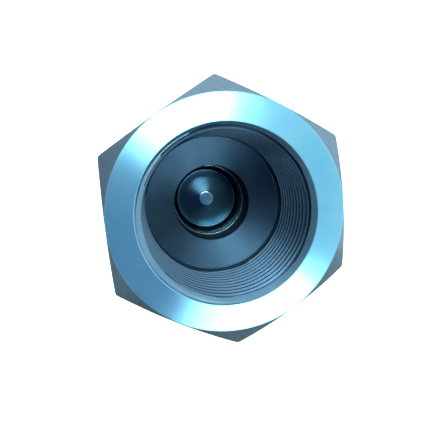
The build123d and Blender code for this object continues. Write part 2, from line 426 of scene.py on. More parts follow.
class SealStock(Finish):
    """Moulded rubber or skived plastic: a dull skin with a fine grain."""

    look: SoftLook

    def shade(self, tree: bpy.types.NodeTree) -> bpy.types.Node:
        """Build the seal material.

        Args:
            tree: the material's tree.

        Returns:
            The shader.
        """
        look = self.look
        place = add_node(tree, "ShaderNodeTexCoord").outputs["Object"]
        fine = {"Vector": place, "Scale": 1 / (look.grain * METRES), "Detail": 3.0}
        grain = add_node(tree, "ShaderNodeTexNoise", fine)
        colours = {"Factor": grain, "A": linear(look.deep), "B": linear(look.bright)}
        pits = {"Strength": look.bump_strength, "Distance": look.grain_depth * METRES, "Height": grain}
        skin = {
            "Base Color": add_node(tree, "ShaderNodeMix", colours, data_type="RGBA"),
            "Roughness": look.roughness,
            "Normal": add_node(tree, "ShaderNodeBump", pits),
        }
        return add_node(tree, "ShaderNodeBsdfPrincipled", skin)


class Finishes:
    """Every finish of the valve, made once."""

    def __init__(self) -> None:
        """Set the finishes up from typical values of each metal and seal."""
        plated = "zinc_plated_body"
        # Zinc-plated, blue-passivated steel, faced on a lathe: pale cyan, with two opposite fans of light.
        self.zinc = TurnedMetal(
            MetalLook(
                "zinc_plated_turned_steel", plated, bright="#92E2FC", deep="#7CD6F8",
                roughness=0.29, roughness_spread=0.03, anisotropy=0.9,
            )
        )
        # The same plating on the countersunk mouth, coloured duller and greyer than the face as painted shade in
        # the mouth, and without fans.
        self.chamfer = TurnedMetal(
            MetalLook(
                "zinc_plated_countersunk_steel", plated, bright="#76A2BC", deep="#5F8BA9",
                roughness=0.30, roughness_spread=0.05, anisotropy=0.2, marks=TurnedMarks(feed=0.3),
            )
        )
        # Tapped thread: a painted highlight on the crests gives thin light lines, over a colour set dark as
        # painted shade deep in the port.
        self.thread = TurnedMetal(
            MetalLook(
                "zinc_plated_threaded_steel", plated, bright="#142C40", deep="#0E2031",
                roughness=0.24, roughness_spread=0.05, anisotropy=0.0, marks=TurnedMarks(feed=0.5),
                edge=PaintedEdgeHighlight(THREAD_MINOR_RADIUS, reach=0.6, colour="#6A96B6"),
            )
        )
        # Drilled floor: coarse drill marks, coloured dark blue as painted shade at the bottom of the port, with a
        # soft wide sheen.
        self.floor = TurnedMetal(
            MetalLook(
                "zinc_plated_drilled_steel", plated, bright="#2A4355", deep="#1F3546",
                roughness=0.42, roughness_spread=0.08, anisotropy=0.5, marks=TurnedMarks(feed=0.5, depth=0.006),
            )
        )
        # Bored orifice wall: coloured nearly black as painted shade deep in the port.
        self.orifice = TurnedMetal(
            MetalLook(
                "zinc_plated_bored_steel", plated, bright="#0B1722", deep="#08121C",
                roughness=0.55, roughness_spread=0.04, anisotropy=0.0, marks=TurnedMarks(feed=0.3),
            )
        )
        # Cold-drawn hexagon bar under the plating: greyer blue, with fine lines along the bar.
        self.bar = DrawnBar(
            BarLook(
                "zinc_plated_drawn_bar", plated, bright="#86A8BC", deep="#7494AA",
                roughness=0.30, roughness_spread=0.07,
            )
        )
        # Hardened, finely turned seat steel: dark, with a painted highlight as a bright line at its bore edge.
        self.seat = TurnedMetal(
            MetalLook(
                "hardened_turned_seat_steel", "hardened_seat", bright="#1A2C3A", deep="#14232F",
                roughness=0.24, roughness_spread=0.05, anisotropy=0.0, marks=TurnedMarks(feed=0.3),
                edge=PaintedEdgeHighlight(SEAT_BORE_RADIUS, reach=0.25, colour="#A9D2E0", inset=-0.15),
            )
        )
        # Hardened poppet steel, turned with marks that lean outwards: dark teal, with one bright fan and a painted
        # highlight along the nose's rim.
        self.poppet = TurnedMetal(
            MetalLook(
                "hardened_turned_poppet_steel", "hardened_poppet", bright="#365F72", deep="#284A5C",
                roughness=0.25, roughness_spread=0.08, anisotropy=0.7,
                marks=TurnedMarks(feed=0.5, depth=0.045, lean=0.13),
                edge=PaintedEdgeHighlight(NOSE_RADIUS, reach=0.16, colour="#A9D2E0", inset=0.06),
            )
        )
        # Ground steel: smoother and lighter than what it is riveted into, with a painted highlight as a bright
        # rim.
        self.stem = TurnedMetal(
            MetalLook(
                "ground_stem_steel", "ground_stem", bright="#66A0BC", deep="#5892AE",
                roughness=0.22, roughness_spread=0.04, anisotropy=0.4, marks=TurnedMarks(feed=0.2, depth=0.002),
                edge=PaintedEdgeHighlight(RIVET_RADIUS, reach=0.2, colour="#A6D2E4", inset=0.1),
            )
        )
        # Plain machined steel: neutral grey with soft rings.
        self.guide = TurnedMetal(
            MetalLook(
                "machined_guide_steel", "machined_guide", bright="#9AA7AE", deep="#818E96",
                roughness=0.33, roughness_spread=0.06, anisotropy=0.5, marks=TurnedMarks(feed=0.35),
            )
        )
        # Bored bearing bronze: warm brown-gold.
        self.bronze = TurnedMetal(
            MetalLook(
                "bored_bearing_bronze", "bush_bronze", bright="#C99A5B", deep="#B08449",
                roughness=0.3, roughness_spread=0.06, anisotropy=0.5, marks=TurnedMarks(feed=0.3),
            )
        )
        # Oil-tempered spring wire: dark grey with a low sheen.
        self.wire = TurnedMetal(
            MetalLook(
                "oil_tempered_spring_wire", "spring_wire", bright="#565B62", deep="#3D4147",
                roughness=0.36, roughness_spread=0.06, anisotropy=0.2, marks=TurnedMarks(feed=0.5),
            )
        )
        # Moulded nitrile: soft black with a dull sheen.
        self.nitrile = SealStock(
            SoftLook("moulded_nitrile", "nitrile", bright="#1C1C1D", deep="#101011", roughness=0.5)
        )
        # Skived PTFE: milky white, slightly waxy.
        self.ptfe = SealStock(SoftLook("skived_ptfe", "ptfe", bright="#E9E6DB", deep="#DAD6C8", roughness=0.42))


@dataclass(frozen=True)
class Corner:
    """A corner of a turned outline: its distance from the axis, its height and how far it is rounded."""

    radius: float
    height: float
    softness: float = 0.0

    def place(self) -> Vector:
        """Return the corner as a point of the outline's plane."""
        return Vector((self.radius, self.height))


def soften(corners: list[Corner], closed: bool) -> Outline:
    """Round an outline's corners with short arcs, with a support point on each side that keeps the walls flat.

    Args:
        corners: the outline's corners in order.
        closed: whether the last corner joins the first.

    Returns:
        Points as (radius, height) pairs.
    """
    arc_steps, support_share, longest_arc, longest_support = 3, 1.6, 0.45, 0.49
    points: Outline = []
    count = len(corners)
    for index, corner in enumerate(corners):
        here = corner.place()
        at_end = not closed and index in (0, count - 1)
        if corner.softness <= 0 or at_end:
            points.append(tuple(here))
            continue
        back = corners[index - 1].place() - here
        ahead = corners[(index + 1) % count].place() - here
        reach = min(corner.softness, longest_arc * back.length, longest_arc * ahead.length)
        room = min(reach * support_share, longest_support * back.length)
        room_ahead = min(reach * support_share, longest_support * ahead.length)
        back.normalize()
        ahead.normalize()
        start, end = here + back * reach, here + ahead * reach
        if room > reach:
            points.append(tuple(here + back * room))
        for step in range(arc_steps + 1):
            share = step / arc_steps
            points.append(tuple((1 - share) ** 2 * start + 2 * share * (1 - share) * here + share**2 * end))
        if room_ahead > reach:
            points.append(tuple(here + ahead * room_ahead))
    return points


def circle_points(radius: float, count: int) -> Outline:
    """Points of a flat circle, as (x, y) pairs."""
    angles = [2 * math.pi * step / count for step in range(count)]
    return [(radius * math.cos(angle), radius * math.sin(angle)) for angle in angles]


def circle_ring(radius: float, height: float, columns: int) -> Ring:
    """Points of one circle about the flow axis, in metres."""
    return [(x * METRES, y * METRES, height * METRES) for x, y in circle_points(radius, columns)]


def stack_rings(
    mesh: bmesh.types.BMesh, rings: list[Ring], closed: bool, surfaces: list[Surface] | None = None
) -> None:
    """Skin a list of rings with quads.

    Args:
        mesh: the mesh that gets the faces.
        rings: rings with the same number of points each.
        closed: whether the last ring joins the first.
        surfaces: the finish of each band between two rings, turned where it is left out.
    """
    made = [[mesh.verts.new(point) for point in ring] for ring in rings]
    bands = len(rings) if closed else len(rings) - 1
    for band in range(bands):
        low, high = made[band], made[(band + 1) % len(rings)]
        finish = surfaces[band].value if surfaces else Surface.TURNED.value
        for column in range(len(low)):
            beside = (column + 1) % len(low)
            face = mesh.faces.new((low[column], low[beside], high[beside], high[column]))
            face.material_index = finish


def cap_ring(mesh: bmesh.types.BMesh, ring: Ring) -> None:
    """Close a small ring with a fan about its own centre.

    Args:
        mesh: the mesh that gets the faces.
        ring: the ring, which lies flat.
    """
    edge = [mesh.verts.new(point) for point in ring]
    centre = mesh.verts.new((0.0, 0.0, ring[0][2]))
    for column in range(len(edge)):
        mesh.faces.new((edge[column], edge[(column + 1) % len(edge)], centre))


def finish_mesh(name: str, mesh: bmesh.types.BMesh, materials: list[bpy.types.Material]) -> bpy.types.Object:
    """Merge doubles, point the faces outwards, shade smooth up to the sharp edges and link the object.

    Args:
        name: the piece's name.
        mesh: a closed shell in metres, in the row's frame.
        materials: the piece's materials, by slot number.

    Returns:
        The finished object at the origin.
    """
    bmesh.ops.remove_doubles(mesh, verts=mesh.verts, dist=MERGE_DISTANCE)
    bmesh.ops.recalc_face_normals(mesh, faces=mesh.faces)
    data = bpy.data.meshes.new(name)
    mesh.to_mesh(data)
    mesh.free()
    for material in materials:
        data.materials.append(material)
    shade_edges(data)
    return link_object(name, data)


def lathe(name: str, corners: list[Corner], finish: Finish) -> bpy.types.Object:
    """Turn a closed outline about the flow axis.

    Args:
        name: the piece's name.
        corners: the outline. Its first and last corners lie on the axis in a solid piece, and otherwise the
            outline is a closed loop.
        finish: the piece's finish.

    Returns:
        The piece as one closed shell.
    """
    solid = corners[0].radius == 0
    points = soften(corners[1:-1], closed=False) if solid else soften(corners, closed=True)
    mesh = bmesh.new()
    rings = [circle_ring(radius, height, PIECE_COLUMNS) for radius, height in points]
    stack_rings(mesh, rings, closed=not solid)
    if solid:
        cap_ring(mesh, rings[0])
        cap_ring(mesh, rings[-1])
    return finish_mesh(name, mesh, [finish.material()])


def lathe_washer(
    name: str, node: str, bore_radius: float, bore_edge: float, rim_edge: float, finish: Finish
) -> bpy.types.Object:
    """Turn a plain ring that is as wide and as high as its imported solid.

    Args:
        name: the piece's name.
        node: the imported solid.
        bore_radius: radius of its bore.
        bore_edge: how far the bore's edges are rounded.
        rim_edge: how far the rim's edges are rounded.
        finish: the piece's finish.

    Returns:
        The ring as one closed shell.
    """
    room = span_of(node)
    outline = [
        Corner(bore_radius, room.low, bore_edge),
        Corner(room.half_width, room.low, rim_edge),
        Corner(room.half_width, room.high, rim_edge),
        Corner(bore_radius, room.high, bore_edge),
    ]
    return lathe(name, outline, finish)


def combine(piece: bpy.types.Object, tool: bpy.types.Object, how: Combination) -> None:
    """Cut a tool out of a piece or join it on, with the tool's finish, keep a plain mesh and remove the tool.

    Args:
        piece: the piece that changes.
        tool: what is cut out or joined on.
        how: whether the tool is cut out or joined on.
    """
    modifier = piece.modifiers.new("combine", "BOOLEAN")
    modifier.operation = how.value
    modifier.solver = "EXACT"
    modifier.material_mode = "TRANSFER"
    modifier.object = tool
    whole = evaluated_mesh(piece)
    piece.modifiers.remove(modifier)
    spent = (piece.data, tool.data)
    piece.data = whole
    bpy.data.objects.remove(tool)
    for data in spent:
        bpy.data.meshes.remove(data)


def place_piece(piece: bpy.types.Object, body: str, node: str, finish: Finish) -> None:
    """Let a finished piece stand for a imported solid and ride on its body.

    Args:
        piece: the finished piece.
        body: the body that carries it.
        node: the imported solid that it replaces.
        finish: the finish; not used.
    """
    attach(piece, body)
    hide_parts(node)
    LOG.info("%s stands for %s on %s, %d faces", piece.name, node, body, len(piece.data.polygons))


def new_tree(
    name: str, counts: tuple[str, ...], sizes: tuple[str, ...]
) -> tuple[bpy.types.NodeTree, bpy.types.NodeOutputs]:
    """Start a Geometry Nodes tree with named inputs, a material input and one geometry output.

    Args:
        name: the tree's name.
        counts: names of its whole-number inputs.
        sizes: names of its other inputs.

    Returns:
        The tree and the sockets of its inputs, by name.
    """
    tree = bpy.data.node_groups.new(name, "GeometryNodeTree")
    tree.interface.new_socket(name="Geometry", in_out="OUTPUT", socket_type="NodeSocketGeometry")
    kinds = {"NodeSocketInt": counts, "NodeSocketFloat": sizes, "NodeSocketMaterial": ("Material",)}
    for kind, labels in kinds.items():
        for label in labels:
            tree.interface.new_socket(name=label, in_out="INPUT", socket_type=kind)
    return tree, add_node(tree, "NodeGroupInput").outputs


def wind(tree: bpy.types.NodeTree, geometry: Feed, turns: Feed, radius: Feed, height: Feed) -> bpy.types.Node:
    """Move a geometry's points around the flow axis.

    Args:
        tree: the tree that gets the nodes.
        geometry: what is moved.
        turns: turns about the axis of each point.
        radius: distance from the axis of each point.
        height: height of each point.

    Returns:
        The moved geometry.
    """
    angle = add_node(tree, MATH, {0: turns, 1: 2 * math.pi}, operation="MULTIPLY")
    cosine = add_node(tree, MATH, {0: angle}, operation="COSINE")
    sine = add_node(tree, MATH, {0: angle}, operation="SINE")
    out_x = add_node(tree, MATH, {0: radius, 1: cosine}, operation="MULTIPLY")
    out_y = add_node(tree, MATH, {0: radius, 1: sine}, operation="MULTIPLY")
    target = add_node(tree, "ShaderNodeCombineXYZ", {"X": out_x, "Y": out_y, "Z": height})
    return add_node(tree, "GeometryNodeSetPosition", {"Geometry": geometry, "Position": target})


def end_tree(tree: bpy.types.NodeTree, geometry: Feed, material: Feed) -> None:
    """Realize the instances, set the material and close the tree.

    Args:
        tree: the tree to close.
        geometry: its result.
        material: its material input.
    """
    real = add_node(tree, "GeometryNodeRealizeInstances", {"Geometry": geometry})
    dressed = add_node(tree, "GeometryNodeSetMaterial", {"Geometry": real, "Material": material})
    add_node(tree, "NodeGroupOutput", {0: dressed})


def bake_tree(name: str, tree: bpy.types.NodeTree, values: dict[str, Any]) -> bpy.types.Mesh:
    """Run a Geometry Nodes tree on an empty mesh and keep its result as a plain mesh.

    Args:
        name: the new mesh's name.
        tree: the tree to run.
        values: input name to value, set by each socket's identifier.

    Returns:
        The plain mesh, with the modifier gone.
    """
    holder = link_object(name, bpy.data.meshes.new(name + "_seed"))
    modifier = holder.modifiers.new(name, "NODES")
    modifier.node_group = tree
    for item in tree.interface.items_tree:
        if item.item_type == "SOCKET" and item.in_out == "INPUT" and item.name in values:
            modifier[item.identifier] = values[item.name]
    baked = evaluated_mesh(holder)
    holder.modifiers.remove(modifier)
    bpy.data.objects.remove(holder)
    return baked


@dataclass
class PortThread:
    """Female G1 1/4 thread: a helical groove with rounded crests, cut by the mouth chamfer and the relief."""

    pitch: float = 25.4 / 11
    major_radius: float = 41.91 / 2
    minor_radius: float = THREAD_MINOR_RADIUS
    flank_angle: float = 27.5
    rounding: float = 0.32
    mouth_radius: float = 21.15
    edge_break: float = BROKEN_EDGE
    length: float = 24.2
    relief_radius: float = 21.405
    relief_width: float = 3.6
    relief_edge: float = 0.25
    port_depth: float = 28.4
    floor_edge: float = 0.12
    drill_point_angle: float = 140.0
    rows_per_pitch: int = 16
    start_turn: float = 0.167

    def floor_depth(self, radius: float) -> float:
        """Depth of the drilled, conical port floor at a radius, from the port's face."""
        slope = 1 / math.tan(math.radians(self.drill_point_angle / 2))
        return self.port_depth + (self.minor_radius - radius) * slope

    def tree(self) -> bpy.types.NodeTree:
        """Build the tree that bends a grid into the threaded wall.

        Returns:
            The tree.
        """
        sizes = (
            "Rows per Pitch", "Pitch", "Minor Radius", "Major Radius", "Flank Rise", "Rounding", "Mouth Radius",
            "Edge Break", "Length", "Relief Radius", "Face Height", "Inward", "Start Turn",
        )
        tree, value = new_tree("helical_port_thread", ("Columns", "Rows"), sizes)
        pitch, minor, major = value["Pitch"], value["Minor Radius"], value["Major Radius"]
        columns = add_node(tree, MATH, {0: value["Columns"], 1: 1.0}, operation="ADD")
        levels = add_node(tree, MATH, {0: value["Rows"], 1: 1.0}, operation="ADD")
        points = add_node(tree, MATH, {0: levels, 1: 1.0}, operation="ADD")
        size = {"Size X": 1.0, "Size Y": 1.0, "Vertices X": columns, "Vertices Y": points}
        grid = add_node(tree, "GeometryNodeMeshGrid", size)
        place = add_node(tree, "GeometryNodeInputPosition")
        parts = add_node(tree, "ShaderNodeSeparateXYZ", {0: place}).outputs
        around = add_node(tree, MATH, {0: parts["X"], 1: 0.5}, operation="ADD")
        share = add_node(tree, MATH, {0: parts["Y"], 1: 0.5}, operation="ADD")
        level = add_node(tree, MATH, {0: share, 1: levels}, operation="MULTIPLY")
        row_turns = add_node(tree, MATH, {0: level, 1: value["Rows per Pitch"]}, operation="DIVIDE")
        helix = add_node(tree, MATH, {0: row_turns, 1: around}, operation="ADD")
        turns = add_node(tree, MATH, {0: helix, 1: 1.0}, operation="SUBTRACT")
        free_depth = add_node(tree, MATH, {0: turns, 1: pitch}, operation="MULTIPLY")
        below_edge = add_node(tree, MATH, {0: free_depth, 1: value["Edge Break"]}, operation="MAXIMUM")
        depth = add_node(tree, MATH, {0: below_edge, 1: value["Length"]}, operation="MINIMUM")
        pitches = add_node(tree, MATH, {0: depth, 1: pitch}, operation="DIVIDE")
        lag = add_node(tree, MATH, {0: pitches, 1: around}, operation="SUBTRACT")
        phase = add_node(tree, MATH, {0: lag, 1: value["Start Turn"]}, operation="ADD")
        # A root lies at phase 0 and a crest half a pitch on, with the middle of the flank between them
        from_root = add_node(tree, MATH, {0: phase, 1: 0.5}, operation="PINGPONG")
        from_flank = add_node(tree, MATH, {0: 0.25, 1: from_root}, operation="SUBTRACT")
        both_radii = add_node(tree, MATH, {0: major, 1: minor}, operation="ADD")
        middle = add_node(tree, MATH, {0: both_radii, 1: 0.5}, operation="MULTIPLY")
        rise = {0: from_flank, 1: value["Flank Rise"], 2: middle}
        flank = add_node(tree, MATH, rise, operation="MULTIPLY_ADD")
        rooted = add_node(tree, MATH, {0: flank, 1: major, 2: value["Rounding"]}, operation="SMOOTH_MIN")
        crested = add_node(tree, MATH, {0: rooted, 1: minor, 2: value["Rounding"]}, operation="SMOOTH_MAX")
        cone = add_node(tree, MATH, {0: value["Mouth Radius"], 1: depth}, operation="SUBTRACT")
        wall = add_node(tree, MATH, {0: crested, 1: cone}, operation="MAXIMUM")
        last_level = add_node(tree, MATH, {0: levels, 1: 0.5}, operation="SUBTRACT")
        at_relief = add_node(tree, MATH, {0: level, 1: last_level}, operation="GREATER_THAN")
        radius = add_node(tree, "ShaderNodeMix", {"Factor": at_relief, "A": wall, "B": value["Relief Radius"]})
        signed = add_node(tree, MATH, {0: around, 1: value["Inward"]}, operation="MULTIPLY")
        stand = {0: depth, 1: value["Inward"], 2: value["Face Height"]}
        height = add_node(tree, MATH, stand, operation="MULTIPLY_ADD")
        bent = wind(tree, grid, signed, radius, height)
        merged = add_node(tree, "GeometryNodeMergeByDistance", {"Geometry": bent, "Distance": MERGE_DISTANCE})
        end_tree(tree, merged, value["Material"])
        return tree

    def wall(self, name: str, face_height: float, inward: int, material: bpy.types.Material) -> bpy.types.Mesh:
        """Make one port's threaded wall, from the edge break at its mouth to the relief's first ring.

        Args:
            name: the mesh's name.
            face_height: height of the port's face.
            inward: 1 where the port runs upwards into the body, -1 where it runs downwards.
            material: the wall's material.

        Returns:
            The wall as a plain mesh in metres.
        """
        turns = math.ceil(self.length / self.pitch) + 1
        sizes = {
            "Pitch": self.pitch,
            "Minor Radius": self.minor_radius,
            "Major Radius": self.major_radius,
            "Flank Rise": self.pitch / math.tan(math.radians(self.flank_angle)),
            "Rounding": self.rounding,
            "Mouth Radius": self.mouth_radius,
            "Edge Break": self.edge_break,
            "Length": self.length,
            "Relief Radius": self.relief_radius,
            "Face Height": face_height,
        }
        values = {label: size * METRES for label, size in sizes.items()}
        values |= {"Columns": BODY_COLUMNS, "Rows": turns * self.rows_per_pitch, "Material": material}
        values |= {"Rows per Pitch": float(self.rows_per_pitch), "Inward": float(inward)}
        values["Start Turn"] = self.start_turn
        return bake_tree(name, self.tree(), values)

    def floor_outline(self, face_height: float, inward: int) -> list[Corner]:
        """Outline from the relief's first ring down to the port's floor, without the floor itself.

        Args:
            face_height: height of the port's face.
            inward: 1 where the port runs upwards into the body, -1 where it runs downwards.

        Returns:
            The outline's corners.
        """
        relief_end = face_height + inward * (self.length + self.relief_width)
        return [
            Corner(self.relief_radius, face_height + inward * self.length),
            Corner(self.relief_radius, relief_end, self.relief_edge),
            Corner(self.minor_radius, relief_end, self.floor_edge),
            Corner(self.minor_radius, face_height + inward * self.port_depth, self.floor_edge),
        ]


@dataclass
class HexagonEnd:
    """Hexagon bar with ends turned to a 30 degree chamfer."""

    across_flats: float
    land_radius: float = 27.25
    corner_radius: float = 0.8
    chamfer_angle: float = 30.0
    edge_softness: float = BROKEN_EDGE

    def reach(self, angle: float) -> float:
        """Find the bar's skin, with its rounded corners.

        Args:
            angle: angle about the axis, in radians.

        Returns:
            The skin's distance from the axis.
        """
        sixth = math.pi / 3
        from_flat = (angle + sixth / 2) % sixth - sixth / 2
        half = self.across_flats / 2
        corner = half / math.cos(sixth / 2)
        rounded_off = self.corner_radius * (1 / math.cos(sixth / 2) - 1)
        return min(half / math.cos(from_flat), corner - rounded_off)

    def ring(self, end_height: float, outward: int) -> Ring:
        """Ring where the end chamfer meets the hexagon.

        Args:
            end_height: height of the bar's end face.
            outward: 1 for an upper end, -1 for a lower one.

        Returns:
            The ring, which dips at the corners.
        """
        slope = math.tan(math.radians(self.chamfer_angle))
        points = []
        for column in range(BODY_COLUMNS):
            angle = 2 * math.pi * column / BODY_COLUMNS
            reach = self.reach(angle)
            height = end_height - outward * (reach - self.land_radius) * slope
            x, y = reach * math.cos(angle), reach * math.sin(angle)
            points.append((x * METRES, y * METRES, height * METRES))
        return points

    def land_rings(self, inner_radius: float, end_height: float, outward: int) -> list[Ring]:
        """Rings of the flat end face from its inner edge out to the soft edge of the chamfer.

        Args:
            inner_radius: radius of the face's inner edge.
            end_height: height of the face.
            outward: 1 for an upper end, -1 for a lower one.

        Returns:
            The rings, from the inside outwards.
        """
        soft = self.edge_softness
        full_drop = soft * math.tan(math.radians(self.chamfer_angle))
        eased_drop = full_drop / 4
        stations = [
            (inner_radius, 0.0),
            (inner_radius + soft, 0.0),
            (self.land_radius - 2 * soft, 0.0),
            (self.land_radius - soft, 0.0),
            (self.land_radius, eased_drop),
            (self.land_radius + soft, full_drop),
            (self.land_radius + 2 * soft, 2 * full_drop),
        ]
        return [circle_ring(radius, end_height - outward * drop, BODY_COLUMNS) for radius, drop in stations]


@dataclass
class FlowArrow:
    """Arrow cut in one flat of the outlet body, pointing from the inlet to the outlet."""

    length: float = 26.0
    head_length: float = 9.0
    head_width: float = 10.0
    shaft_width: float = 3.4
    depth: float = 0.4
    reach_out: float = 1.0
    below_joint: float = 16.0

    def cutter(
        self, flat_distance: float, joint_height: float, material: bpy.types.Material
    ) -> bpy.types.Object:
        """Make the arrow's cutting prism on the +X flat.

        Args:
            flat_distance: distance of the flat from the axis.
            joint_height: height of the joint between the bodies.
            material: the finish that the cut leaves.

        Returns:
            The prism, which reaches a little out of the flat.
        """
        tail = joint_height - self.below_joint
        tip = tail - self.length
        barb = tip + self.head_length
        half_shaft, half_head = self.shaft_width / 2, self.head_width / 2
        outline = [(-half_shaft, tail), (half_shaft, tail), (half_shaft, barb), (half_head, barb)]
        outline += [(0.0, tip), (-half_head, barb), (-half_shaft, barb)]
        floor_x, outside_x = flat_distance - self.depth, flat_distance + self.reach_out
        mesh = bmesh.new()
        inner = [mesh.verts.new((floor_x * METRES, y * METRES, z * METRES)) for y, z in outline]
        outer = [mesh.verts.new((outside_x * METRES, y * METRES, z * METRES)) for y, z in outline]
        mesh.faces.new(inner)
        mesh.faces.new(outer)
        for index in range(len(outline)):
            beside = (index + 1) % len(outline)
            mesh.faces.new((inner[index], inner[beside], outer[beside], outer[index]))
        return finish_mesh("flow_arrow_cutter", mesh, [material])


@dataclass
class Joint:
    """The screwed and sealed joint between the bodies, M45x1.5, drawn near its pitch diameter."""

    female_radius: float = 22.033
    male_radius: float = 21.993
    entry_chamfer: float = 1.0
    undercut_radius: float = 20.6
    undercut_length: float = 2.0
    nose_bore_radius: float = 21.0
    nose_radius: float = 20.95
    nose_length: float = 7.75
    thread_gap: float = 0.4
    groove_radius: float = 19.05
    groove_width: float = 4.2
    groove_setback: float = 1.6
    nose_softness: float = 0.6


@dataclass
class Bodies:
    """The two hexagon bodies, each one closed shell with its helical port thread."""

    finishes: Finishes
    thread: PortThread = field(default_factory=PortThread)
    outlet_rows_per_pitch: int = 12
    joint: Joint = field(default_factory=Joint)
    arrow: FlowArrow = field(default_factory=FlowArrow)
    orifice_edge: float = 0.15
    pocket_radius: float = 19.0
    seat_proud: float = 0.2
    chamber_radius: float = 17.0
    circlip_groove_radius: float = 17.85
    circlip_room: float = 1.6
    outlet_bore_edge: float = 0.3
    shoulder_edge: float = 0.2
    flattest_wall: float = 0.85

    def __post_init__(self) -> None:
        """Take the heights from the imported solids."""
        self.inlet = span_of(INLET_BODY)
        self.outlet = span_of(OUTLET_BODY)
        self.seat = span_of("seat_ring")
        self.guide = span_of("stem_guide")
        self.shim = span_of("spring_shim")
        self.hexagon = HexagonEnd(across_flats=2 * self.inlet.half_width)

    def shell(
        self, name: str, outline: list[Corner], ends: tuple[float, float], face_up: bool
    ) -> bpy.types.Object:
        """Close one body from its turned outline, its hexagon and its threaded wall.

        Args:
            name: the body's name.
            outline: turned corners from the relief's first ring, through the body, to the joint's face.
            ends: heights of the hexagon's lower and upper end.
            face_up: whether the port's face is the upper end.

        Returns:
            The body as one closed shell.
        """
        low_end, high_end = ends
        port_end, joint_end = (high_end, low_end) if face_up else (low_end, high_end)
        outward = 1 if face_up else -1
        thread = self.thread if face_up else replace(self.thread, rows_per_pitch=self.outlet_rows_per_pitch)
        rings = [circle_ring(radius, height, BODY_COLUMNS) for radius, height in soften(outline, closed=False)]
        rings += self.hexagon.land_rings(outline[-1].radius, joint_end, -outward)[1:]
        bar_band = len(rings)
        rings.append(self.hexagon.ring(joint_end, -outward))
        rings.append(self.hexagon.ring(port_end, outward))
        mouth = thread.mouth_radius + thread.edge_break / 2
        rings += reversed(self.hexagon.land_rings(mouth, port_end, outward))
        first = thread.mouth_radius - thread.edge_break
        rings.append(circle_ring(first, port_end - outward * thread.edge_break, BODY_COLUMNS))
        surfaces = [Surface.TURNED] * (len(rings) - 1)
        surfaces[bar_band - 1 : bar_band + 2] = [Surface.BAR] * 3
        mesh = bmesh.new()
        stack_rings(mesh, rings, closed=False, surfaces=surfaces)
        wall = thread.wall(name + "_thread", port_end, -outward, self.finishes.zinc.material())
        mesh.from_mesh(wall)
        bpy.data.meshes.remove(wall)
        self.mark_bore(mesh, port_end, outward)
        given = self.finishes
        finishes = (given.zinc, given.bar, given.chamfer, given.thread, given.floor, given.orifice)
        return finish_mesh(name, mesh, [finish.material() for finish in finishes])

    def mark_bore(self, mesh: bmesh.types.BMesh, port_end: float, outward: int) -> None:
        """Give the mouth's cone, the thread and its relief, the floor and the orifice their own finishes.

        Args:
            mesh: the body's mesh, in metres.
            port_end: height of the port's face.
            outward: 1 where the port's face is the upper end, -1 where it is the lower one.
        """
        mesh.normal_update()
        thread = self.thread
        relief_end = thread.length + thread.relief_width
        floor_end = thread.floor_depth(ORIFICE_RADIUS)
        for face in mesh.faces:
            centre = face.calc_center_median() / METRES
            radius = math.hypot(centre.x, centre.y)
            depth = (port_end - centre.z) * outward
            if radius > thread.relief_radius or depth < thread.edge_break:
                continue
            if depth < thread.mouth_radius - thread.minor_radius:
                face.material_index = Surface.CHAMFER.value
            elif depth < relief_end:
                face.material_index = Surface.THREAD.value
            elif depth < floor_end and abs(face.normal.z) > self.flattest_wall:
                face.material_index = Surface.FLOOR.value
            elif radius < ORIFICE_RADIUS + self.orifice_edge:
                face.material_index = Surface.ORIFICE.value

    def make_inlet(self) -> bpy.types.Object:
        """Make the inlet body: port, orifice, seat pocket, seal bore and female joint thread.

        Returns:
            The inlet body.
        """
        joint, seat = self.joint, self.seat
        shoulder = seat.low + self.seat_proud
        bore_end = self.outlet.high - joint.nose_length - joint.thread_gap / 2
        floor = self.inlet.high - self.thread.floor_depth(ORIFICE_RADIUS)
        outline = self.thread.floor_outline(self.inlet.high, -1) + [
            Corner(ORIFICE_RADIUS, floor, self.orifice_edge),
            Corner(ORIFICE_RADIUS, seat.high),
            Corner(self.pocket_radius, seat.high, BROKEN_EDGE),
            Corner(self.pocket_radius, shoulder, BROKEN_EDGE),
            Corner(joint.nose_bore_radius, shoulder, BROKEN_EDGE),
            Corner(joint.nose_bore_radius, bore_end, BROKEN_EDGE),
            Corner(joint.female_radius, bore_end, BROKEN_EDGE),
            Corner(joint.female_radius, self.inlet.low + joint.entry_chamfer, BROKEN_EDGE),
            Corner(joint.female_radius + joint.entry_chamfer, self.inlet.low),
        ]
        return self.shell("inlet_hexagon_body", outline, (self.inlet.low, self.inlet.high), face_up=True)

